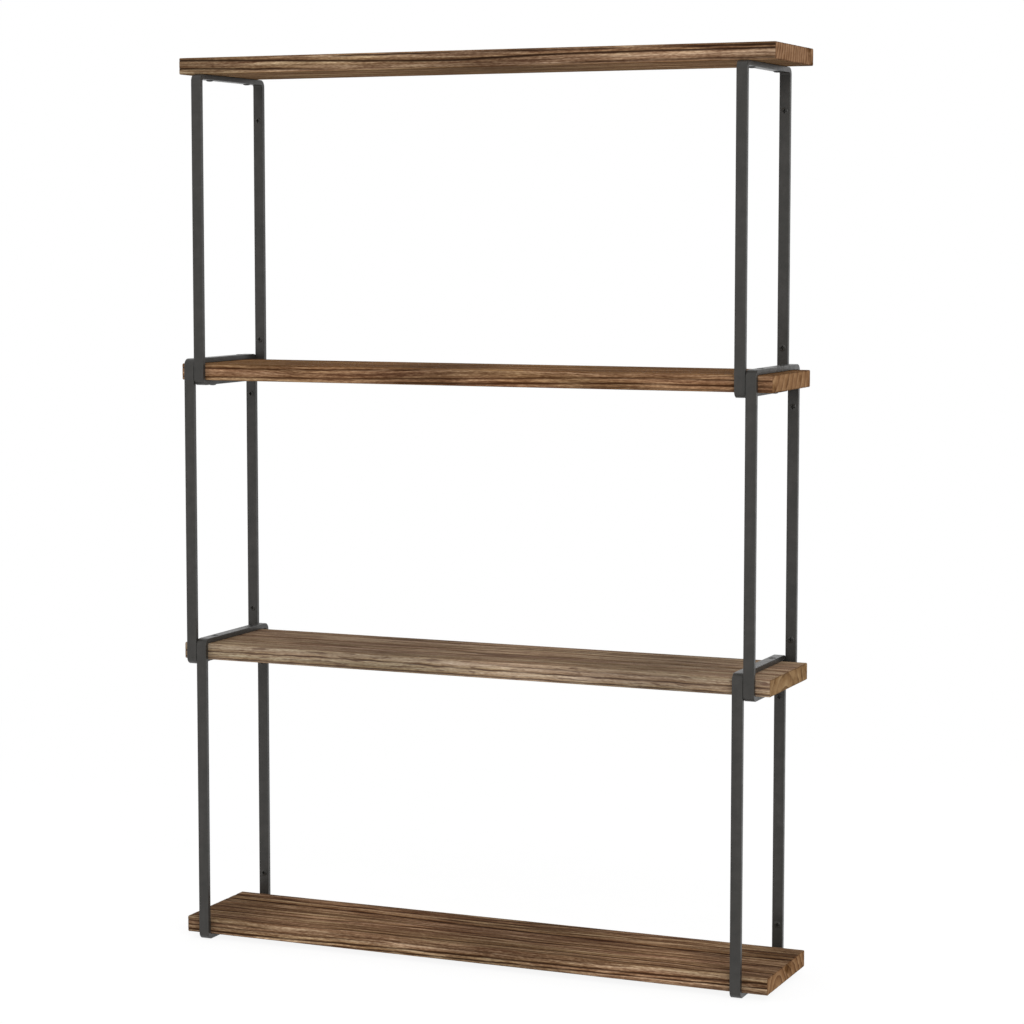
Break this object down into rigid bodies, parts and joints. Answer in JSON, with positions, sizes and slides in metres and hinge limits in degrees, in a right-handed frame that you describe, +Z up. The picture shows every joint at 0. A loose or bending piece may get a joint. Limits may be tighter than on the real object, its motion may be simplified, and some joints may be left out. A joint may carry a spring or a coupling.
{
  "type": "wall shelving unit",
  "caption": "Narrow wall shelving unit: solid wood boards carried by interlocking rectangular loops of bent flat bar, screwed to the boards and to the wall.",
  "frame": {"origin": "middle of the unit seen from above, at the height of its lowest point, the heads of the screws under the lower loops", "axes": "+X along the boards to the right as seen from the front, -Y is the front, +Y is the wall, +Z is up"},
  "size_m": [0.61, 0.133, 0.8773],
  "materials": {
    "shelf_wood": "brushed, weathered brown wood with an oiled matt surface",
    "bar_paint": "satin powder coat, warm dark grey",
    "screw_black": "black zinc, semi-gloss"
  },
  "bodies": {
    "root": {"bottom_shelf": "shelf_wood", "lower_shelf": "shelf_wood", "upper_shelf": "shelf_wood", "top_shelf": "shelf_wood", "lower_left_loop": "bar_paint", "lower_right_loop": "bar_paint", "middle_left_loop": "bar_paint", "middle_right_loop": "bar_paint", "upper_left_loop": "bar_paint", "upper_right_loop": "bar_paint", "lower_left_bottom_screws": "screw_black", "lower_right_bottom_screws": "screw_black", "lower_left_top_screws": "screw_black", "lower_right_top_screws": "screw_black", "middle_left_bottom_screws": "screw_black", "middle_right_bottom_screws": "screw_black", "middle_left_top_screws": "screw_black", "middle_right_top_screws": "screw_black", "upper_left_bottom_screws": "screw_black", "upper_right_bottom_screws": "screw_black", "upper_left_top_screws": "screw_black", "upper_right_top_screws": "screw_black"}
  },
  "joints": []
}
